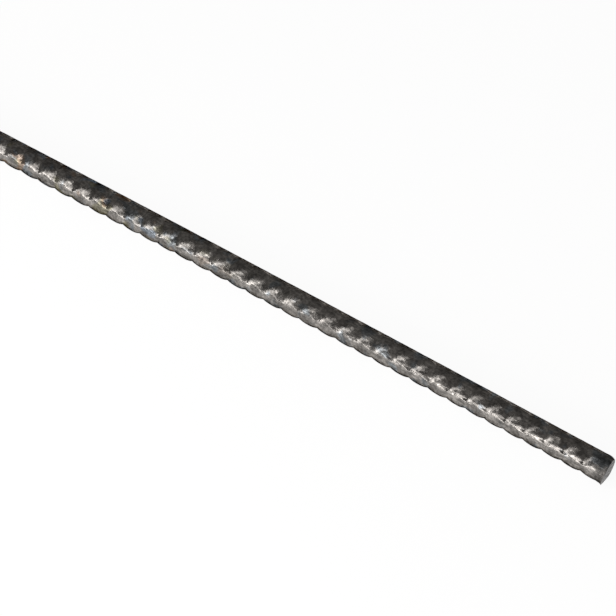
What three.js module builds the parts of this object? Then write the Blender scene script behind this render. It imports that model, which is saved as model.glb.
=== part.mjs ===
// A ribbed steel reinforcing bar, cut to a one-metre retail length.
//
// The bar is cold rolled between three rollers. They leave three rows of crescent ribs, and
// between the rows three narrow smooth strips that run the whole length. The rib crests lie on
// one circle, which is the section here: it is what the bar rests on and passes through. The
// shallow valleys between the ribs, and the strips a tenth of a millimetre below the crests, are
// surface relief and are not cut into this solid.
//
// The bar came off a coil, so it keeps a slight bow. It lies on the flat of that bow.
//
// Both ends are sheared. One edge of a cut is drawn over, the face below it is burnished flat,
// the rest of the face is torn back a little, and the last edge stands out as a burr.
//
// Units are millimetres. X runs along the bar and Z is up. The origin is midway along the bar,
// on the surface that it lies on, halfway between the two sides of its bow.

import * as THREE from 'three';

// ---------------------------------------------------------------- driving dimensions
const BAR_LENGTH = 1000;
const CREST_DIAMETER = 8.26; // over the rib crests of a nominal 8 mm bar
const SECTION_FLATS = 48; // facets of the round, one of them straight below the axis
const BOW = 10; // how far the middle stands off the straight line between the ends
const BOW_STEPS = 16;

// The sheared ends
const SHEAR_ANGLE = 216; // degrees from +Y: the way the blade drove, and the side with the burr
const DRAWN_LENGTH = 3.6; // how far along the bar the drawn-over edge reaches
const DRAWN_DEPTH = 0.85; // how far that edge is pulled in at the cut
const BURR_LENGTH = 1.1; // how far back along the bar the burr begins
const BURR_HEIGHT = 0.6; // how far the burr stands out
const BURR_START = 0.62; // where the burr starts, as a share of the radius towards its side
const TORN_START = 0.1; // where the torn part of the face starts, likewise
const TORN_DEPTH = 0.4; // how far the face is torn back beside the burr
const END_STEPS = 9;
const FACE_STEPS = 6; // rings of facets across a cut face

// ---------------------------------------------------------------- worked out from those
const CREST_RADIUS = CREST_DIAMETER / 2;
const HALF_LENGTH = BAR_LENGTH / 2;
const FLAT_ANGLE = (2 * Math.PI) / SECTION_FLATS;
const AXIS_HEIGHT = CREST_RADIUS * Math.cos(FLAT_ANGLE / 2); // the bar lies on its lowest flat

// ---------------------------------------------------------------- section and axis
// The outline in the Y-Z plane, seen from +X. Its first flat is the lowest one.
function barSection() {
  const firstCorner = -(Math.PI + FLAT_ANGLE) / 2;
  const circle = new THREE.EllipseCurve(
    0,
    0,
    CREST_RADIUS,
    CREST_RADIUS,
    firstCorner,
    firstCorner + 2 * Math.PI,
    false,
    0
  );
  return circle.getPoints(SECTION_FLATS).slice(0, SECTION_FLATS);
}

// How far to the side the bar's axis lies: a shallow arc whose middle stands off to +Y.
function bowAt(x) {
  return BOW * (0.5 - (x / HALF_LENGTH) ** 2);
}

// ---------------------------------------------------------------- sheared ends
// How far a value lies between a start and 1, as a share from 0 to 1.
function shareBeyond(start, value) {
  return Math.max(0, (value - start) / (1 - start));
}

// What the shear did to a point of the section at a distance from the cut: where the point is
// now, and how far behind the cut's plane. blade is the unit vector of the blade's stroke.
function shearedPoint(point, distance, blade) {
  const side = point.dot(blade) / CREST_RADIUS; // -1 at the drawn-over edge, 1 at the burr
  const nearCut = Math.max(0, 1 - distance / DRAWN_LENGTH);
  const drawn = DRAWN_DEPTH * nearCut ** 3 * ((1 - side) / 2) ** 3;
  const nearBurr = Math.max(0, 1 - distance / BURR_LENGTH);
  const burr = BURR_HEIGHT * nearBurr ** 2 * shareBeyond(BURR_START, side) ** 2;
  const torn = TORN_DEPTH * nearCut * THREE.MathUtils.smoothstep(side, TORN_START, 1);
  return {
    place: point.clone().addScaledVector(blade, drawn + burr),
    behind: distance + torn,
  };
}

// One sheared end: rings of points from the whole bar to the cut's rim, and on across the cut
// face to its middle. end is 1 at the +X cut and -1 at the -X cut.
function shearedEnd(outline, end) {
  const stroke = THREE.MathUtils.degToRad(SHEAR_ANGLE);
  const blade = new THREE.Vector2(Math.cos(stroke), Math.sin(stroke)).multiplyScalar(end);
  const ring = (distance, share) =>
    outline.map((point) => {
      const { place, behind } = shearedPoint(point.clone().multiplyScalar(share), distance, blade);
      return new THREE.Vector3(end * (HALF_LENGTH - behind), place.x, place.y);
    });
  const rings = [];
  for (let step = END_STEPS; step >= 0; step -= 1) {
    rings.push(ring(DRAWN_LENGTH * (step / END_STEPS) ** 2, 1));
  }
  for (let step = FACE_STEPS - 1; step >= 1; step -= 1) {
    rings.push(ring(0, step / FACE_STEPS));
  }
  return { rings, middle: ring(0, 0)[0] };
}

// ---------------------------------------------------------------- the solid
// Rings of the whole section between the two ends, close enough to follow the bow.
function plainRings(outline) {
  const reach = HALF_LENGTH - DRAWN_LENGTH;
  const rings = [];
  for (let step = 1; step < BOW_STEPS; step += 1) {
    const x = THREE.MathUtils.lerp(-reach, reach, step / BOW_STEPS);
    rings.push(outline.map((point) => new THREE.Vector3(x, point.x, point.y)));
  }
  return rings;
}

// One closed body: from the middle of the -X cut face, ring by ring, to the middle of the +X
// one. The same shear made both cuts, one on each side of its blade, so their burrs stand out
// on opposite sides.
function barGeometry() {
  const outline = barSection();
  const minusEnd = shearedEnd(outline, -1);
  const plusEnd = shearedEnd(outline, 1);
  const rings = [...minusEnd.rings.reverse(), ...plainRings(outline), ...plusEnd.rings];
  const points = [minusEnd.middle, ...rings.flat(), plusEnd.middle];
  const last = points.length - 1;

  const triangles = [];
  for (let step = 0; step < SECTION_FLATS; step += 1) {
    const beside = (step + 1) % SECTION_FLATS;
    triangles.push(0, beside + 1, step + 1);
    triangles.push(last, last - SECTION_FLATS + step, last - SECTION_FLATS + beside);
    for (let ring = 0; ring + 1 < rings.length; ring += 1) {
      const here = 1 + ring * SECTION_FLATS;
      const ahead = here + SECTION_FLATS;
      triangles.push(here + step, here + beside, ahead + beside);
      triangles.push(here + step, ahead + beside, ahead + step);
    }
  }

  const positions = points.flatMap(({ x, y, z }) => [x, y + bowAt(x), z + AXIS_HEIGHT]);
  const geometry = new THREE.BufferGeometry();
  geometry.setAttribute('position', new THREE.Float32BufferAttribute(positions, 3));
  geometry.setIndex(triangles);
  geometry.computeVertexNormals();
  return geometry;
}

// ---------------------------------------------------------------- material and model
const scaledSteel = new THREE.MeshStandardMaterial({
  name: 'scaled_steel',
  color: 0x55504c,
  roughness: 0.45,
  metalness: 0.8,
});

const bar = new THREE.Mesh(barGeometry(), scaledSteel);
bar.name = 'bar';

const reinforcingBar = new THREE.Group();
reinforcingBar.name = 'reinforcing_bar';
reinforcingBar.add(bar);

export default reinforcingBar;
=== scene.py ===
"""Looks of a ribbed steel reinforcing bar that lies on a pale table.

The bar is one rolled piece. Three rows of crescent ribs run along it, with three narrow smooth
strips between the rows. Its ends were cut by a shear. All lengths are in metres.
"""

import logging
import math
from dataclasses import dataclass
from enum import Enum

import bmesh
import bpy
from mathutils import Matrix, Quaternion, Vector, noise


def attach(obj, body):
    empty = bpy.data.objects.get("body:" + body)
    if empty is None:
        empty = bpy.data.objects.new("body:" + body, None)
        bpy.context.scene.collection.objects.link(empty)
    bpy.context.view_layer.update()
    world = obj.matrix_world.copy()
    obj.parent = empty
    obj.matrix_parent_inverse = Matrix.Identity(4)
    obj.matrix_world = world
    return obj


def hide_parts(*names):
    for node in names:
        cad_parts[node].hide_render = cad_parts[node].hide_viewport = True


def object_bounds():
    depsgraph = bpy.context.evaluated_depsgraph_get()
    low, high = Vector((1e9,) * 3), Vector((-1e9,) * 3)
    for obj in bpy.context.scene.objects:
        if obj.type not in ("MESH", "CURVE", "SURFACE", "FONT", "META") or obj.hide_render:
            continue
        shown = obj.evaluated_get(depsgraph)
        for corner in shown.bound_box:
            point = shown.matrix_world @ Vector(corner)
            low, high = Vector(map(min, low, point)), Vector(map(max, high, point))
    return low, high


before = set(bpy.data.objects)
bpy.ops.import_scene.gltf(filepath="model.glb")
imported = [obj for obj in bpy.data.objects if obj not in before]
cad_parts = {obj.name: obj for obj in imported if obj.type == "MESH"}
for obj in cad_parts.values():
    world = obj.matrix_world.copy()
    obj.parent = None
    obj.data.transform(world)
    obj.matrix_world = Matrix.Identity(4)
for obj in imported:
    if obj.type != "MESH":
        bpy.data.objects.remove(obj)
CAD_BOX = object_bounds()

log = logging.getLogger("reinforcing_bar")

MM = 0.001

Colour = tuple[float, float, float, float]
# What a socket of a node can be fed with.
Feed = bpy.types.NodeSocket | float | Colour


class Slant(Enum):
    """Which way a row of ribs leans, seen from outside with +X to the right."""

    FORWARD = -1.0
    BACKWARD = 1.0


class Finish(Enum):
    """Material slots of the bar's mesh, in their order."""

    ROLLED = 0
    CUT = 1


@dataclass(frozen=True)
class RibProfile:
    """Section along the bar through one rib, from the groove before it to the groove after it.

    Each side falls away from the summit as 1 - s ** bulge, where s runs from 0 at the summit to
    1 in the groove, so a higher bulge gives a flatter back and a steeper edge.

    summit: where the summit lies between the two grooves, as a share of the pitch.
    near_bulge: bulge of the side before the summit.
    far_bulge: bulge of the side after the summit.
    column_shares: values of s at which each side has a column of the mesh.
    """

    summit: float
    near_bulge: float
    far_bulge: float
    column_shares: tuple[float, ...] = (0.2, 0.4, 0.6, 0.8, 0.94)

    def height(self, place: float) -> float:
        """Height of the rib at a distance past the groove before it.

        Args:
            place: distance along the bar, in pitches.

        Returns:
            1 on the summit and 0 in a groove.
        """
        share = place - math.floor(place)
        if share < self.summit:
            return 1.0 - (1.0 - share / self.summit) ** self.near_bulge
        return 1.0 - ((share - self.summit) / (1.0 - self.summit)) ** self.far_bulge

    def columns(self) -> list[float]:
        """Lays out the columns of the mesh.

        Returns:
            Their places, in pitches past the groove before the rib.
        """
        near = [self.summit * (1.0 - share) for share in reversed(self.column_shares)]
        far = [self.summit + (1.0 - self.summit) * share for share in self.column_shares]
        return [0.0, *near, self.summit, *far]


@dataclass(frozen=True)
class RibRow:
    """One row of crescent ribs between two smooth strips.

    middle: angle of the row's middle around the bar, in degrees from +Y.
    slant: which way the ribs lean.
    inclination: angle between a rib and the bar's axis, in degrees.
    lead: how far a groove at the row's middle lies past a whole pitch, in pitches.
    depth: how far the grooves lie below the ribs at the row's middle.
    profile: section through a rib.
    """

    middle: float
    slant: Slant
    inclination: float
    lead: float
    depth: float
    profile: RibProfile


@dataclass(frozen=True)
class BarSizes:
    """Driving sizes of the bar.

    crest_radius: from the axis to the rib crests.
    strip_angle: angle that one smooth strip takes up around the bar.
    strip_depth: how far the strips lie below the crests.
    pitch: from one rib to the next.
    length: from one cut face to the other, as in the solids.
    axis_height: height of the axis above the table.
    bow: how far the middle of the bar lies to the side of its ends.
    first_notch: from the cut end in front to its first groove.
    rows: the rows of ribs, in their order around the bar.
    """

    crest_radius: float = 4.13 * MM
    strip_angle: float = math.radians(5.6)
    strip_depth: float = 0.12 * MM
    pitch: float = 6.41 * MM
    length: float = float(CAD_BOX[1][0] - CAD_BOX[0][0])
    axis_height: float = 4.121 * MM
    bow: float = 10.0 * MM
    first_notch: float = 7.33 * MM
    rows: tuple[RibRow, ...] = (
        RibRow(98.6, Slant.BACKWARD, 78.3, -0.02, 0.55 * MM, RibProfile(0.44, 2.4, 2.4)),
        RibRow(218.6, Slant.FORWARD, 68.4, -0.03, 0.46 * MM, RibProfile(0.65, 2.8, 1.8)),
        RibRow(338.6, Slant.BACKWARD, 75.0, 0.0, 0.50 * MM, RibProfile(0.50, 2.5, 2.3)),
    )

    @property
    def row_angle(self) -> float:
        """Angle that one row of ribs takes up around the bar."""
        return math.tau / len(self.rows) - self.strip_angle

    def bow_at(self, along: float) -> float:
        """How far to the side the bowed axis lies at a place along the bar."""
        return self.bow * (0.5 - (2.0 * along / self.length) ** 2)

    def heading_at(self, along: float) -> float:
        """Direction of the bowed axis at a place along the bar, as an angle from +X."""
        return math.atan(-8.0 * self.bow * along / self.length ** 2)


@dataclass(frozen=True)
class RingLine:
    """A line of the mesh that runs along the bar.

    row: the row of ribs that it belongs to.
    from_middle: its angle from the row's middle, in radians.
    moved: how many columns its numbering is moved on.
    """

    row: RibRow
    from_middle: float
    moved: int


@dataclass
class RibbedLength:
    """The ribbed part of the bar: one pitch of it, repeated from end to end.

    sizes: driving sizes of the bar.
    steps_per_row: how many steps the mesh takes around one row of ribs.
    spare_pitches: how many pitches are made beyond each end, for the cuts to take off.
    weld_distance: points of neighbouring tiles that lie closer than this are joined.
    bluntness: how the grooves grow shallower towards the strips: the lower, the later.
    lightening_bluntness: how the lighter colour fades from the strips onto the ribs: the lower,
    the sooner.
    """

    sizes: BarSizes
    steps_per_row: int = 14
    spare_pitches: int = 4
    weld_distance: float = 0.004 * MM
    bluntness: float = 0.23
    lightening_bluntness: float = 0.3

    def fade_at(self, from_middle: float) -> float:
        """How far from the smooth strips a line lies: 1 at the row's middle and 0 at its edges."""
        edge = math.cos(self.sizes.row_angle / 2)
        return max(0.0, math.cos(from_middle) - edge) / (1.0 - edge)

    def groove_at(self, row: RibRow, from_middle: float) -> float:
        """How far along the bar a groove lies, in pitches, at an angle from the row's middle."""
        run = self.sizes.crest_radius * from_middle / math.tan(math.radians(row.inclination))
        return row.lead + row.slant.value * run / self.sizes.pitch

    def ring_lines(self) -> list[RingLine]:
        """Lines of the mesh that run along the bar, once around it and back to the first.

        Each row's numbering is moved on so that the columns of neighbouring rows meet almost
        squarely across the strip between them.

        Returns:
            The lines in the order in which they lie around the bar.
        """
        rows = self.sizes.rows
        half = self.sizes.row_angle / 2
        middle_of_strip = half + self.sizes.strip_angle / 2
        lines = []
        moved = 0
        for index, row in enumerate([*rows, rows[0]]):
            columns = len(row.profile.columns())
            if index:
                before = self.groove_at(rows[index - 1], middle_of_strip)
                moved += round((before - self.groove_at(row, -middle_of_strip)) * columns)
            shares = [step / self.steps_per_row for step in range(self.steps_per_row + 1)]
            angles = [half * (share - 0.5 - 0.5 * math.cos(math.pi * share)) for share in shares]
            if index == len(rows):
                angles = angles[:1]
            else:
                angles.append(middle_of_strip)
            lines.extend(RingLine(row, angle, moved) for angle in angles)
        return lines

    def pitch_tile(self) -> bpy.types.Object:
        """Makes the wall of one pitch of the bar, open at both ends.

        Returns:
            The tile. Its attribute "pressed" is 0 on the ribs and 1 where the rolls pressed the
            grooves and strips in, and "creased" is 1 on the bottom lines of the grooves.
        """
        sizes = self.sizes
        points = []
        pressed = []
        creased = []
        lines = self.ring_lines()
        for line in lines:
            row = line.row
            columns = row.profile.columns()
            fade = self.fade_at(line.from_middle)
            crest = sizes.strip_depth * (1.0 - fade * fade)
            open_share = fade ** self.bluntness
            groove = row.depth * open_share + sizes.strip_depth * (1.0 - open_share)
            angle = math.radians(row.middle) + line.from_middle
            for number in range(len(columns) + 1):
                turns, place = divmod(number + line.moved, len(columns))
                offset = turns + columns[place]
                height = row.profile.height(offset)
                radius = sizes.crest_radius - crest * height - groove * (1.0 - height)
                along = (offset + self.groove_at(row, line.from_middle)) * sizes.pitch
                points.append((along, radius * math.cos(angle),
                               radius * math.sin(angle) + sizes.axis_height))
                # The scale's colour is lighter where this is high: in the grooves and on the
                # strips, not on the rib summits.
                pressed.append(1.0 - height * fade ** self.lightening_bluntness)
                creased.append(float(place == 0 and fade > 0.0))
        per_line = len(points) // len(lines)
        faces = []
        for line_number in range(len(lines) - 1):
            for number in range(per_line - 1):
                here = line_number * per_line + number
                above = here + per_line
                faces.append((here, above, above + 1, here + 1))
        mesh = bpy.data.meshes.new("pitch_tile")
        mesh.from_pydata(points, [], faces)
        for name, values in (("pressed", pressed), ("creased", creased)):
            layer = mesh.attributes.new(name, "FLOAT", "POINT")
            layer.data.foreach_set("value", values)
        mesh.update()
        tile = bpy.data.objects.new("pitch_tile", mesh)
        bpy.context.scene.collection.objects.link(tile)
        return tile

    def repeat_tree(self) -> bpy.types.NodeTree:
        """Builds the node tree that repeats a tile along the bar.

        Returns:
            The tree, with inputs for the tile, its pitch, the count, the start and the finish.
        """
        tree = bpy.data.node_groups.new("Repeat along the bar", "GeometryNodeTree")
        face = tree.interface
        for name, kind in (("Geometry", "Geometry"), ("Tile", "Object"), ("Pitch", "Float"),
                           ("Count", "Int"), ("Start", "Float"), ("Finish", "Material")):
            face.new_socket(name, in_out="INPUT", socket_type=f"NodeSocket{kind}")
        face.new_socket("Geometry", in_out="OUTPUT", socket_type="NodeSocketGeometry")
        given = tree.nodes.new("NodeGroupInput")
        result = tree.nodes.new("NodeGroupOutput")
        line = tree.nodes.new("GeometryNodeMeshLine")
        line.mode = "OFFSET"
        start = tree.nodes.new("ShaderNodeCombineXYZ")
        step = tree.nodes.new("ShaderNodeCombineXYZ")
        tile = tree.nodes.new("GeometryNodeObjectInfo")
        tile.transform_space = "ORIGINAL"
        copies = tree.nodes.new("GeometryNodeInstanceOnPoints")
        realize = tree.nodes.new("GeometryNodeRealizeInstances")
        finish = tree.nodes.new("GeometryNodeSetMaterial")
        link = tree.links.new
        link(given.outputs["Start"], start.inputs["X"])
        link(given.outputs["Pitch"], step.inputs["X"])
        link(given.outputs["Count"], line.inputs["Count"])
        link(start.outputs["Vector"], line.inputs["Start Location"])
        link(step.outputs["Vector"], line.inputs["Offset"])
        link(given.outputs["Tile"], tile.inputs["Object"])
        link(line.outputs["Mesh"], copies.inputs["Points"])
        link(tile.outputs["Geometry"], copies.inputs["Instance"])
        link(copies.outputs["Instances"], realize.inputs["Geometry"])
        link(realize.outputs["Geometry"], finish.inputs["Geometry"])
        link(given.outputs["Finish"], finish.inputs["Material"])
        link(finish.outputs["Geometry"], result.inputs["Geometry"])
        return tree

    def build(self, finish: bpy.types.Material) -> bpy.types.Mesh:
        """Repeats the tile over more than the bar's length.

        Args:
            finish: material of the rolled surface.

        Returns:
            The wall, still in separate tiles and longer than the bar.
        """
        sizes = self.sizes
        tile = self.pitch_tile()
        tree = self.repeat_tree()
        count = math.ceil(sizes.length / sizes.pitch) + 2 * self.spare_pitches
        notch = sizes.length / 2 - sizes.first_notch
        carrier = bpy.data.objects.new("repeat", bpy.data.meshes.new("repeat"))
        bpy.context.scene.collection.objects.link(carrier)
        modifier = carrier.modifiers.new("repeat", "NODES")
        modifier.node_group = tree
        values = {
            "Tile": tile,
            "Pitch": sizes.pitch,
            "Count": count,
            "Start": notch - (count - self.spare_pitches) * sizes.pitch,
            "Finish": finish,
        }
        for item in tree.interface.items_tree:
            if item.item_type == "SOCKET" and item.in_out == "INPUT" and item.name in values:
                modifier[item.identifier] = values[item.name]
        graph = bpy.context.evaluated_depsgraph_get()
        wall = bpy.data.meshes.new_from_object(carrier.evaluated_get(graph))
        bpy.data.objects.remove(carrier)
        bpy.data.objects.remove(tile)
        return wall


@dataclass
class ShearedEnd:
    """One end of the bar as the shear left it.

    One edge is drawn over, the face below it is burnished flat, the rest of the face is torn
    back, and the last edge stands out as a burr. The bar lay askew in the shear, so the whole
    face also leans a little to one side of the stroke.

    sizes: driving sizes of the bar.
    side: 1 for the end towards +X and -1 for the other.
    stroke_angle: direction of the blade's stroke at the +X end, as an angle from +Y.
    drawn_length: how far along the bar the shear drew the steel over.
    drawn_depth: how far it drew the edge over.
    burr_length: how far along the bar the burr reaches.
    burr_height: how far the burr stands out.
    burr_start: where the burr starts, from 0 at the axis to 1 at the last edge.
    torn_start: where the torn part of the face starts, counted likewise.
    torn_depth: how far the last edge is torn back.
    lean_depth: how much farther one side of the face reaches than the other.
    evened_length: how far from the cut the blades pressed the grooves shut.
    grain: how rough the face is.
    grain_size: how wide its grains are.
    face_share: the roughness starts within this share of the radius.
    extra_cuts: how far from the cut rings of points are added to the wall.
    cut_tolerance: how close to a cutting plane a point counts as lying on it.
    rim_tolerance: how close to the cut the points of the rim lie.
    ring_shares: radii of the rings of points on the face, as shares of its rim.
    """

    sizes: BarSizes
    side: float
    stroke_angle: float = math.radians(216.0)
    drawn_length: float = 3.2 * MM
    drawn_depth: float = 0.60 * MM
    burr_length: float = 1.1 * MM
    burr_height: float = 0.30 * MM
    burr_start: float = 0.62
    torn_start: float = 0.1
    torn_depth: float = 0.4 * MM
    lean_depth: float = 1.4 * MM
    evened_length: float = 2.8 * MM
    grain: float = 0.07 * MM
    grain_size: float = 0.9 * MM
    face_share: float = 0.985
    extra_cuts: tuple[float, ...] = (0.12 * MM, 0.3 * MM, 0.6 * MM)
    cut_tolerance: float = 0.001 * MM
    rim_tolerance: float = 0.01 * MM
    ring_shares: tuple[float, ...] = (0.97, 0.92, 0.84, 0.74, 0.62, 0.5, 0.38, 0.26, 0.13)

    @property
    def blade(self) -> Vector:
        """Unit vector of the blade's stroke at this end, in the Y-Z plane."""
        return Vector((0.0, math.cos(self.stroke_angle), math.sin(self.stroke_angle))) * self.side

    def sheared(self, place: Vector) -> Vector:
        """Where the shear moved a point of the bar.

        Args:
            place: the point on the uncut bar, or in its cut plane.

        Returns:
            The point drawn over, torn back or pushed out into the burr.
        """
        distance = self.sizes.length / 2 - place.x * self.side
        radial = Vector((0.0, place.y, place.z - self.sizes.axis_height))
        towards = radial.dot(self.blade) / self.sizes.crest_radius
        near_cut = max(0.0, 1.0 - distance / self.drawn_length)
        drawn = self.drawn_depth * near_cut ** 3 * ((1.0 - towards) / 2) ** 3
        near_burr = max(0.0, 1.0 - distance / self.burr_length)
        beyond = max(0.0, (towards - self.burr_start) / (1.0 - self.burr_start))
        burr = self.burr_height * near_burr ** 2 * beyond ** 2
        share = min(1.0, max(0.0, (towards - self.torn_start) / (1.0 - self.torn_start)))
        torn = self.torn_depth * near_cut * share * share * (3.0 - 2.0 * share)
        sideways = Vector((self.side, 0.0, 0.0)).cross(self.blade)
        torn += self.lean_depth / 2 * near_cut * radial.dot(sideways) / self.sizes.crest_radius
        if radial.length < self.face_share * self.sizes.crest_radius:
            torn += self.grain * noise.noise(place / self.grain_size) * near_cut
        return place + self.blade * (drawn + burr) - Vector((self.side * torn, 0.0, 0.0))

    def evened(self, place: Vector) -> Vector:
        """Where a point of the wall lies once the blades have pressed the grooves shut.

        Args:
            place: the point on the wall as rolled.

        Returns:
            The point, moved out to the crests, fully so in the half nearest to the cut.
        """
        distance = self.sizes.length / 2 - place.x * self.side
        near = min(1.0, max(0.0, 2.0 - 2.0 * distance / self.evened_length))
        radial = Vector((0.0, place.y, place.z - self.sizes.axis_height))
        return place + radial.normalized() * (self.sizes.crest_radius - radial.length) * near

    def rim(self, work: bmesh.types.BMesh) -> list[bmesh.types.BMVert]:
        """Finds the open rim of the wall at this end.

        Args:
            work: the bar's wall, cut square.

        Returns:
            The rim's points in order around the bar.
        """
        near = self.sizes.length / 2 - self.rim_tolerance
        rim = [vert for vert in work.verts if vert.co.x * self.side > near and vert.is_boundary]
        ordered = [rim[0]]
        while len(ordered) < len(rim):
            ahead = [edge.other_vert(ordered[-1]) for edge in ordered[-1].link_edges
                     if edge.is_boundary]
            fresh = [vert for vert in ahead if vert not in ordered[-2:]]
            ordered.append(fresh[0])
        return ordered

    def close(self, work: bmesh.types.BMesh) -> None:
        """Closes this end with rings of faces across the cut, left flat for the shear to shape.

        Args:
            work: the bar's wall, cut square.
        """
        rim = self.rim(work)
        half = self.side * self.sizes.length / 2
        middle = Vector((half, 0.0, self.sizes.axis_height))
        outer = rim
        faces = []
        for share in self.ring_shares:
            inner = [work.verts.new(middle.lerp(vert.co, share)) for vert in rim]
            for step, vert in enumerate(inner):
                beside = (step + 1) % len(rim)
                faces.append(work.faces.new((outer[step], outer[beside], inner[beside], vert)))
            outer = inner
        centre = work.verts.new(middle)
        for step, vert in enumerate(outer):
            faces.append(work.faces.new((vert, outer[(step + 1) % len(rim)], centre)))
        for face in faces:
            face.material_index = Finish.CUT.value
        faces[0].normal_update()
        if faces[0].normal.x * self.side < 0.0:
            bmesh.ops.reverse_faces(work, faces=faces)

    def shape(self, work: bmesh.types.BMesh) -> None:
        """Cuts the wall square, closes it and shapes it as the shear did.

        Args:
            work: the bar's wall, changed in place.
        """
        half = self.sizes.length / 2
        outwards = Vector((self.side, 0.0, 0.0))
        for back in (0.0, *self.extra_cuts):
            place = Vector((self.side * (half - back), 0.0, 0.0))
            bmesh.ops.bisect_plane(
                work, geom=work.verts[:] + work.edges[:] + work.faces[:],
                dist=self.cut_tolerance, plane_co=place, plane_no=outwards,
                clear_outer=back == 0.0)
        for vert in work.verts:
            if vert.co.x * self.side > half - self.evened_length:
                vert.co = self.evened(vert.co)
        self.close(work)
        reach = half - self.drawn_length
        for vert in work.verts:
            if vert.co.x * self.side > reach:
                vert.co = self.sheared(vert.co)


@dataclass
class Sketch:
    """A material's node tree in the making, with short ways to add the nodes it needs."""

    material: bpy.types.Material

    @classmethod
    def start(cls, name: str) -> "Sketch":
        """Makes a material with a plain shader.

        Args:
            name: name of the material.

        Returns:
            The sketch of its node tree.
        """
        material = bpy.data.materials.new(name)
        material.use_nodes = True
        return cls(material)

    @property
    def shader(self) -> bpy.types.Node:
        """The material's shader."""
        return self.material.node_tree.nodes["Principled BSDF"]

    def add(self, kind: str) -> bpy.types.Node:
        """Adds a node of one kind."""
        return self.material.node_tree.nodes.new(kind)

    def join(self, value: Feed, socket: bpy.types.NodeSocket) -> None:
        """Feeds a socket.

        Args:
            value: another node's output, or a plain value.
            socket: the socket.
        """
        if isinstance(value, bpy.types.NodeSocket):
            self.material.node_tree.links.new(value, socket)
        else:
            socket.default_value = value

    def place(self, stretch: tuple[float, float, float] = (1.0, 1.0, 1.0), shift: float = 0.0,
              turn: float = 0.0) -> bpy.types.NodeSocket:
        """Place on the object, in metres.

        Args:
            stretch: factors that draw the pattern out along X, Y and Z.
            shift: how far the pattern is moved, so that two of one size differ.
            turn: angle by which the pattern is turned about X, in radians.

        Returns:
            The coordinates.
        """
        coordinates = self.add("ShaderNodeTexCoord")
        moved = self.add("ShaderNodeMapping")
        moved.inputs["Scale"].default_value = [1.0 / factor for factor in stretch]
        moved.inputs["Location"].default_value = (shift, shift, shift)
        moved.inputs["Rotation"].default_value = (-turn, 0.0, 0.0)
        self.join(coordinates.outputs["Object"], moved.inputs["Vector"])
        return moved.outputs["Vector"]

    def noise(self, size: float, detail: float = 2.0,
              place: bpy.types.NodeSocket | None = None) -> bpy.types.NodeSocket:
        """Cloudy noise.

        Args:
            size: how wide its clouds are, in metres.
            detail: how many finer layers it has.
            place: where on the object it is taken.

        Returns:
            Its value, from 0 to 1 and mostly near 0.5.
        """
        node = self.add("ShaderNodeTexNoise")
        node.inputs["Scale"].default_value = 1.0 / size
        node.inputs["Detail"].default_value = detail
        self.join(place or self.place(), node.inputs["Vector"])
        return node.outputs["Fac"]

    def spread(self, value: Feed, start: float, end: float, low: float = 0.0,
               high: float = 1.0) -> bpy.types.NodeSocket:
        """Turns the part of a value between two limits smoothly into another range.

        Args:
            value: the value.
            start: limit that becomes low.
            end: limit that becomes high.
            low: lowest result.
            high: highest result.

        Returns:
            The result.
        """
        node = self.add("ShaderNodeMapRange")
        node.interpolation_type = "SMOOTHSTEP"
        for name, number in (("From Min", start), ("From Max", end),
                             ("To Min", low), ("To Max", high)):
            node.inputs[name].default_value = number
        self.join(value, node.inputs["Value"])
        return node.outputs["Result"]

    def reckon(self, operation: str, first: Feed, second: Feed) -> bpy.types.NodeSocket:
        """Combines two values.

        Args:
            operation: how, such as MULTIPLY or ADD.
            first: the first value.
            second: the second value.

        Returns:
            The result.
        """
        node = self.add("ShaderNodeMath")
        node.operation = operation
        self.join(first, node.inputs[0])
        self.join(second, node.inputs[1])
        return node.outputs["Value"]

    def blend(self, share: Feed, first: Feed, second: Feed) -> bpy.types.NodeSocket:
        """Mixes two colours.

        Args:
            share: 0 for the first colour and 1 for the second.
            first: the first colour.
            second: the second colour.

        Returns:
            The mixed colour.
        """
        node = self.add("ShaderNodeMix")
        node.data_type = "RGBA"
        self.join(share, node.inputs["Factor"])
        colours = [socket for socket in node.inputs if socket.type == "RGBA"]
        self.join(first, colours[0])
        self.join(second, colours[1])
        return [socket for socket in node.outputs if socket.type == "RGBA"][0]

    def dim(self, colour: Feed, factor: Feed) -> bpy.types.NodeSocket:
        """Makes a colour darker or brighter.

        Args:
            colour: the colour.
            factor: what it is multiplied by.

        Returns:
            The changed colour.
        """
        node = self.add("ShaderNodeVectorMath")
        node.operation = "SCALE"
        self.join(colour, node.inputs[0])
        self.join(factor, node.inputs["Scale"])
        return node.outputs[0]

    def bump(self, height: bpy.types.NodeSocket, distance: float,
             under: bpy.types.NodeSocket | None = None) -> bpy.types.NodeSocket:
        """Fine relief in the shading.

        Args:
            height: height from 0 to 1.
            distance: how high 1 is, in metres.
            under: coarser relief below it.

        Returns:
            The normal.
        """
        node = self.add("ShaderNodeBump")
        node.inputs["Distance"].default_value = distance
        self.join(height, node.inputs["Height"])
        if under is not None:
            self.join(under, node.inputs["Normal"])
        return node.outputs["Normal"]


@dataclass(frozen=True)
class ColourSpots:
    """Spots of one colour, laid over the scale's own.

    colour: their colour.
    size: how wide they are.
    strength: how far they cover the scale's own colour.
    shift: how far their pattern is moved, so that the colours fall in different places.
    """

    colour: Colour
    size: float
    strength: float
    shift: float


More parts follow.
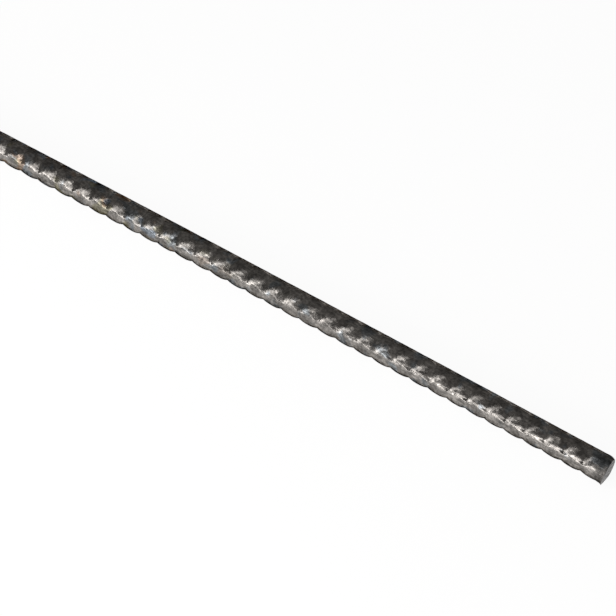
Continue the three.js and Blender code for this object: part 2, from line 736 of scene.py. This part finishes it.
@dataclass(frozen=True)
class Mottle:
    """Lighter and darker spots of one size.

    size: how wide they are.
    detail: how many finer layers they have.
    softness: how far to each side of the noise's middle their edges reach.
    contrast: how much lighter and darker they are than the rest, as a share.
    shift: how far their pattern is moved.
    stretch: how far they are drawn out along the bar.
    """

    size: float
    detail: float
    softness: float
    contrast: float
    shift: float = 0.0
    stretch: float = 1.0

    def factor(self, sketch: Sketch) -> bpy.types.NodeSocket:
        """Lays out the spots.

        Args:
            sketch: the material in the making.

        Returns:
            A factor on the brightness: above 1 in the lighter spots and below 1 in the darker.
        """
        cloud = sketch.noise(self.size, self.detail,
                             sketch.place((self.stretch, 1.0, 1.0), self.shift))
        return sketch.spread(cloud, 0.5 - self.softness, 0.5 + self.softness,
                             1.0 - self.contrast, 1.0 + self.contrast)


@dataclass(frozen=True)
class MillScale:
    """Thin dark scale: brown-black with blue-black patches, lighter in grooves and strips than on
    rib summits.

    Away from the cut end in front it carries spots of olive, brown and blue. Near both cuts the
    shear bruised it, so that it is duller and darker there.

    half_length: half of the bar's length.
    brown_black: colour of the scale.
    blue_black: colour of the patches.
    patch_size: how wide the patches are.
    patch_edge: values of the noise at which a patch starts and is full.
    patch_cover: how far the patches cover the brown-black.
    spot_kinds: spots of olive, brown and blue.
    spot_edge: values of the noise at which a spot of them starts and is full.
    spots_start: place along the bar where the spots begin.
    spots_full: place along the bar from which they are at full strength.
    mottles: lighter and darker specks, blotches and lengthwise streaks.
    groove_lightening: how much brighter the grooves and strips are than the rib summits, as a
    share.
    edge_tint: how bright the scale reflects at a grazing angle.
    roughness: its lowest and its highest roughness.
    roughness_size: how wide the spots of one roughness are.
    roughness_edge: values of the noise at the lowest and the highest roughness.
    bruised_length: how far from a cut the scale is bruised.
    bruised_fully: share of that length, from the cut, in which it is fully so.
    bruised_roughness: how much rougher it is there.
    bruised_brightness: how bright it is there, beside the rest.
    grain_size: how wide the grains of its surface are.
    grain_depth: how high the grains are.
    dent_size: how wide its dents are.
    dent_depth: how deep the dents are.
    """

    half_length: float
    brown_black: Colour = (0.210, 0.197, 0.184, 1.0)
    blue_black: Colour = (0.161, 0.174, 0.184, 1.0)
    patch_size: float = 5.0 * MM
    patch_edge: tuple[float, float] = (0.54, 0.64)
    patch_cover: float = 0.8
    spot_kinds: tuple[ColourSpots, ...] = (
        ColourSpots((0.174, 0.161, 0.096, 1.0), 4.2 * MM, 0.5, 0.11),
        ColourSpots((0.261, 0.178, 0.122, 1.0), 3.6 * MM, 0.6, 0.23),
        ColourSpots((0.131, 0.187, 0.252, 1.0), 3.4 * MM, 0.5, 0.37),
    )
    spot_edge: tuple[float, float] = (0.64, 0.76)
    spots_start: float = 0.385
    spots_full: float = 0.33
    mottles: tuple[Mottle, ...] = (
        Mottle(0.8 * MM, 3.0, 0.18, 0.28, shift=0.3),
        Mottle(3.0 * MM, 1.0, 0.15, 0.24, shift=0.6),
        Mottle(0.35 * MM, 2.0, 0.20, 0.20, stretch=6.0),
    )
    groove_lightening: float = 0.4
    edge_tint: Colour = (0.05, 0.05, 0.05, 1.0)
    roughness: tuple[float, float] = (0.16, 0.28)
    roughness_size: float = 1.1 * MM
    roughness_edge: tuple[float, float] = (0.35, 0.65)
    bruised_length: float = 4.5 * MM
    bruised_fully: float = 0.3
    bruised_roughness: float = 0.2
    bruised_brightness: float = 0.6
    grain_size: float = 0.7 * MM
    grain_depth: float = 0.025 * MM
    dent_size: float = 2.2 * MM
    dent_depth: float = 0.08 * MM

    def along(self, sketch: Sketch) -> bpy.types.NodeSocket:
        """Measures along the bar.

        Args:
            sketch: the material in the making.

        Returns:
            The place along the bar, from its middle.
        """
        parts = sketch.add("ShaderNodeSeparateXYZ")
        sketch.join(sketch.place(), parts.inputs["Vector"])
        return parts.outputs["X"]

    def bruised(self, sketch: Sketch) -> bpy.types.NodeSocket:
        """Lays out where the shear bruised the scale.

        Args:
            sketch: the material in the making.

        Returns:
            1 at the cuts and 0 away from them.
        """
        from_middle = sketch.reckon("ABSOLUTE", self.along(sketch), 0.0)
        return sketch.spread(from_middle, self.half_length - self.bruised_length,
                             self.half_length - self.bruised_fully * self.bruised_length)

    def colour(self, sketch: Sketch) -> bpy.types.NodeSocket:
        """Lays out the colours.

        Args:
            sketch: the material in the making.

        Returns:
            The scale's colour.
        """
        patches = sketch.spread(sketch.noise(self.patch_size), *self.patch_edge,
                                high=self.patch_cover)
        scale = sketch.blend(patches, self.brown_black, self.blue_black)
        # Olive, brown and blue spots, laid out by noise, away from the cut end in front.
        spot_reach = sketch.spread(self.along(sketch), self.spots_start, self.spots_full)
        for spotting in self.spot_kinds:
            cloud = sketch.noise(spotting.size, 0.0, sketch.place(shift=spotting.shift))
            share = sketch.spread(cloud, *self.spot_edge, high=spotting.strength)
            scale = sketch.blend(sketch.reckon("MULTIPLY", share, spot_reach), scale, spotting.colour)
        # Lighter colour in the grooves and on the strips than on the rib summits.
        pressed = sketch.add("ShaderNodeAttribute")
        pressed.attribute_name = "pressed"
        lightened = sketch.reckon("MULTIPLY", pressed.outputs["Fac"], self.groove_lightening)
        shine = sketch.reckon("ADD", lightened, 1.0)
        for mottle in self.mottles:
            shine = sketch.reckon("MULTIPLY", shine, mottle.factor(sketch))
        bruise = sketch.spread(self.bruised(sketch), 0.0, 1.0, 1.0, self.bruised_brightness)
        return sketch.dim(scale, sketch.reckon("MULTIPLY", shine, bruise))

    def material(self) -> bpy.types.Material:
        """Makes the node material.

        Returns:
            The finish of the rolled surface.
        """
        sketch = Sketch.start("mill_scale")
        shader = sketch.shader
        shader.inputs["Metallic"].default_value = 1.0
        shader.inputs["Specular Tint"].default_value = self.edge_tint
        sketch.join(self.colour(sketch), shader.inputs["Base Color"])
        cloud = sketch.noise(self.roughness_size, 3.0, sketch.place(shift=0.5))
        even = sketch.spread(cloud, *self.roughness_edge, *self.roughness)
        dull = sketch.reckon("MULTIPLY", self.bruised(sketch), self.bruised_roughness)
        sketch.join(sketch.reckon("ADD", even, dull), shader.inputs["Roughness"])
        dent = sketch.noise(self.dent_size, place=sketch.place(shift=0.7))
        dents = sketch.bump(dent, self.dent_depth)
        grain = sketch.bump(sketch.noise(self.grain_size, 3.0), self.grain_depth, dents)
        sketch.join(grain, shader.inputs["Normal"])
        return sketch.material


@dataclass(frozen=True)
class CutSteel:
    """Bare steel of the cut faces: drawn bright along the blade's stroke, with a dull grain.

    bright: colour of the bright streaks.
    dull: colour between them.
    streak_size: how wide the streaks are.
    streak_length: how many times longer they are than wide.
    streak_angle: angle of the streaks, from Y.
    streak_edge: values of the noise at which a bright streak starts and is full.
    smoothest: roughness of the bright streaks.
    roughest: roughness between them.
    roughness_edge: values of the noise at the highest and the lowest roughness.
    grain_size: how wide the grains of the surface are.
    grain_depth: how high the grains are.
    """

    bright: Colour = (0.38, 0.37, 0.36, 1.0)
    dull: Colour = (0.105, 0.100, 0.095, 1.0)
    streak_size: float = 0.28 * MM
    streak_length: float = 5.0
    streak_angle: float = math.radians(36.0)
    streak_edge: tuple[float, float] = (0.46, 0.72)
    smoothest: float = 0.42
    roughest: float = 0.62
    roughness_edge: tuple[float, float] = (0.35, 0.65)
    grain_size: float = 0.35 * MM
    grain_depth: float = 0.06 * MM

    def material(self) -> bpy.types.Material:
        """Makes the node material.

        Returns:
            The finish of the cut faces.
        """
        sketch = Sketch.start("cut_steel")
        shader = sketch.shader
        shader.inputs["Metallic"].default_value = 1.0
        place = sketch.place((1.0, self.streak_length, 1.0), turn=self.streak_angle)
        streaks = sketch.noise(self.streak_size, 3.0, place)
        share = sketch.spread(streaks, *self.streak_edge)
        sketch.join(sketch.blend(share, self.dull, self.bright), shader.inputs["Base Color"])
        roughness = sketch.spread(streaks, *self.roughness_edge, self.roughest, self.smoothest)
        sketch.join(roughness, shader.inputs["Roughness"])
        grain = sketch.bump(sketch.noise(self.grain_size, 3.0), self.grain_depth)
        sketch.join(grain, shader.inputs["Normal"])
        return sketch.material


@dataclass
class ReinforcingBar:
    """The whole bar: its ribbed length, its two sheared ends and its bow.

    sizes: driving sizes of the bar.
    unevenness: how deep the rolled surface is sunk at most.
    unevenness_size: how wide its hollows are.
    unevenness_contrast: how strongly the noise tells hollows from the rest.
    unevenness_layers: how many ever finer layers of hollows there are.
    layer_fall: how fast the layers grow weaker.
    layer_step: how many times finer each layer is than the one before.
    """

    sizes: BarSizes
    unevenness: float = 0.06 * MM
    unevenness_size: float = 2.4 * MM
    unevenness_contrast: float = 0.6
    unevenness_layers: int = 3
    layer_fall: float = 0.7
    layer_step: float = 2.2

    def build(self) -> bpy.types.Object:
        """Builds the bar as one closed mesh.

        Returns:
            The bar's object, at the origin.
        """
        sizes = self.sizes
        ribbed = RibbedLength(sizes)
        rolled = MillScale(sizes.length / 2).material()
        wall = ribbed.build(rolled)
        wall.materials.clear()
        wall.materials.append(rolled)
        wall.materials.append(CutSteel().material())
        work = bmesh.new()
        work.from_mesh(wall)
        for face in work.faces:
            face.material_index = Finish.ROLLED.value
        bmesh.ops.remove_doubles(work, verts=work.verts, dist=ribbed.weld_distance)
        self.crease(work)
        self.uneven(work)
        for side in (1.0, -1.0):
            ShearedEnd(sizes, side).shape(work)
        self.bow(work)
        work.to_mesh(wall)
        work.free()
        wall.name = "ribbed_bar"
        wall.polygons.foreach_set("use_smooth", [True] * len(wall.polygons))
        bar = bpy.data.objects.new("ribbed_bar", wall)
        bpy.context.scene.collection.objects.link(bar)
        return bar

    def crease(self, work: bmesh.types.BMesh) -> None:
        """Keeps the bottom line of each groove sharp in the shading.

        Args:
            work: the bar's wall, changed in place.
        """
        creased = work.verts.layers.float["creased"]
        for edge in work.edges:
            edge.smooth = not all(vert[creased] > 0.5 for vert in edge.verts)

    def uneven(self, work: bmesh.types.BMesh) -> None:
        """Sinks the wall a little here and there, so that no two ribs are quite alike.

        Args:
            work: the bar's wall, changed in place.
        """
        axis = Vector((0.0, 0.0, self.sizes.axis_height))
        for vert in work.verts:
            inwards = (axis + Vector((vert.co.x, 0.0, 0.0)) - vert.co).normalized()
            cloud = noise.fractal(vert.co / self.unevenness_size, self.layer_fall,
                                  self.layer_step, self.unevenness_layers)
            share = min(1.0, max(0.0, 0.5 + self.unevenness_contrast * cloud))
            vert.co += inwards * self.unevenness * share

    def bow(self, work: bmesh.types.BMesh) -> None:
        """Bends the bar sideways into its shallow arc."""
        for vert in work.verts:
            vert.co.y += self.sizes.bow_at(vert.co.x)


@dataclass(frozen=True)
class Softbox:
    """A soft rectangular lamp.

    name: its name.
    place: middle of its front.
    wide: its level side before it is turned.
    high: its other side.
    turn: how far it is turned about its middle, anticlockwise as seen from behind it.
    brightness: how bright its front looks, where 1 is white.
    """

    name: str
    place: tuple[float, float, float]
    wide: float
    high: float
    turn: float
    brightness: float

    def hang(self, aim: Vector) -> None:
        """Makes the lamp, which the camera doesn't see.

        Args:
            aim: point that its front faces.
        """
        data = bpy.data.lights.new(self.name, "AREA")
        data.shape = "RECTANGLE"
        data.size = self.wide
        data.size_y = self.high
        data.energy = self.brightness * math.pi * self.wide * self.high
        lamp = bpy.data.objects.new(self.name, data)
        lamp.visible_camera = False
        bpy.context.scene.collection.objects.link(lamp)
        lamp.location = self.place
        lamp.rotation_mode = "QUATERNION"
        facing = (aim - Vector(self.place)).to_track_quat("-Z", "Y")
        lamp.rotation_quaternion = facing @ Quaternion((0, 0, 1), self.turn)


@dataclass
class Studio:
    """Pale table, soft light and the camera.

    sizes: driving sizes of the bar.
    aim_from_end: from the cut end in front to the point that the camera looks at.
    azimuth: how far the camera stands round from the bar's side towards its cut end.
    elevation: how steeply it looks down.
    distance: from the camera to the point it looks at.
    lift: how far the camera is moved up in its own picture.
    lens: its focal length, in millimetres.
    sensor: width of its sensor, in millimetres.
    nearest: it sees nothing nearer than this.
    farthest: it sees nothing farther than this.
    table_half: half of the table's width.
    table_gap: how far the table lies below the bar.
    table_colour: colour of the table to other light.
    shadow_colour: share of the table's look that its shadows darken.
    glow: share of the table's look that they don't.
    surround: light from all round.
    lamp_aim: point that the lamps face.
    softboxes: the lamps.
    """

    sizes: BarSizes
    aim_from_end: float = 0.10244
    azimuth: float = math.radians(36.38)
    elevation: float = math.radians(46.51)
    distance: float = 0.9867
    lift: float = 0.00024
    lens: float = 201.97
    sensor: float = 36.0
    nearest: float = 0.05
    farthest: float = 20.0
    table_half: float = 20.0
    table_gap: float = 0.05 * MM
    table_colour: Colour = (0.85, 0.85, 0.85, 1.0)
    shadow_colour: Colour = (0.22, 0.22, 0.22, 1.0)
    glow: float = 0.915
    surround: Colour = (0.180, 0.178, 0.175, 1.0)
    lamp_aim: tuple[float, float, float] = (0.397, 0.0, 0.01)
    softboxes: tuple[Softbox, ...] = (
        Softbox("front", (0.380, -0.478, 0.157), 0.36, 0.081, math.radians(40.0), 6.4),
        Softbox("low_left", (0.128, -0.410, 0.108), 0.25, 0.048, math.radians(-1.0), 3.6),
        Softbox("tall_left", (0.158, -0.357, 0.265), 0.092, 0.45, math.radians(-12.0), 2.8),
        Softbox("high_left", (0.295, -0.167, 0.470), 0.061, 0.45, math.radians(3.5), 1.1),
    )

    def camera(self) -> None:
        """Makes the camera, which looks down along the bar from its cut end."""
        data = bpy.data.cameras.new("camera")
        data.lens = self.lens
        data.sensor_width = self.sensor
        data.clip_start = self.nearest
        data.clip_end = self.farthest
        camera = bpy.data.objects.new("camera", data)
        bpy.context.scene.collection.objects.link(camera)
        aim = self.sizes.length / 2 - self.aim_from_end
        turned = self.azimuth + self.sizes.heading_at(aim)
        level = math.cos(self.elevation)
        towards = Vector((math.sin(turned) * level, -math.cos(turned) * level,
                          math.sin(self.elevation)))
        look = (-towards).to_track_quat("-Z", "Y")
        up = look @ Vector((0.0, 1.0, 0.0))
        target = Vector((aim, self.sizes.bow_at(aim), self.sizes.axis_height))
        camera.location = target + up * self.lift + towards * self.distance
        camera.rotation_mode = "QUATERNION"
        camera.rotation_quaternion = look
        bpy.context.scene.camera = camera

    def table_white(self) -> bpy.types.Material:
        """Makes the table's material. Camera and gloss see it white, and it keeps the shadow.

        Returns:
            The material.
        """
        sketch = Sketch.start("table_white")
        sketch.material.node_tree.nodes.remove(sketch.shader)
        path = sketch.add("ShaderNodeLightPath").outputs
        either = sketch.reckon("MAXIMUM", path["Is Camera Ray"], path["Is Glossy Ray"])
        seen = sketch.reckon("MAXIMUM", either, path["Is Transmission Ray"])
        plain = sketch.add("ShaderNodeBsdfDiffuse")
        plain.inputs["Color"].default_value = self.table_colour
        shadowed = sketch.add("ShaderNodeBsdfDiffuse")
        shadowed.inputs["Color"].default_value = self.shadow_colour
        glow = sketch.add("ShaderNodeEmission")
        glow.inputs["Strength"].default_value = self.glow
        white = sketch.add("ShaderNodeAddShader")
        sketch.join(shadowed.outputs[0], white.inputs[0])
        sketch.join(glow.outputs[0], white.inputs[1])
        mix = sketch.add("ShaderNodeMixShader")
        sketch.join(seen, mix.inputs["Fac"])
        sketch.join(plain.outputs[0], mix.inputs[1])
        sketch.join(white.outputs[0], mix.inputs[2])
        out = sketch.material.node_tree.nodes["Material Output"]
        sketch.join(mix.outputs[0], out.inputs["Surface"])
        return sketch.material

    def table(self) -> None:
        """Makes the flat table top."""
        half, low = self.table_half, -self.table_gap
        mesh = bpy.data.meshes.new("table")
        mesh.from_pydata([(-half, -half, low), (half, -half, low), (half, half, low),
                          (-half, half, low)], [], [(0, 1, 2, 3)])
        mesh.materials.append(self.table_white())
        table = bpy.data.objects.new("table", mesh)
        bpy.context.scene.collection.objects.link(table)

    def lights(self) -> None:
        """Makes the light from all round and hangs the softboxes."""
        world = bpy.data.worlds.new("studio")
        world.use_nodes = True
        world.node_tree.nodes["Background"].inputs["Color"].default_value = self.surround
        bpy.context.scene.world = world
        for softbox in self.softboxes:
            softbox.hang(Vector(self.lamp_aim))


def main() -> None:
    """Builds the bar, its finish and the studio."""
    logging.basicConfig(level=logging.INFO, format="%(name)s: %(message)s")
    bpy.context.scene.view_settings.view_transform = "Standard"
    sizes = BarSizes()
    bar = ReinforcingBar(sizes).build()
    triangles = sum(len(face.vertices) - 2 for face in bar.data.polygons)
    log.info("ribbed_bar: %d triangles", triangles)
    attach(bar, "root")
    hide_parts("bar")
    studio = Studio(sizes)
    studio.table()
    studio.lights()
    studio.camera()


if __name__ == "__main__":
    main()
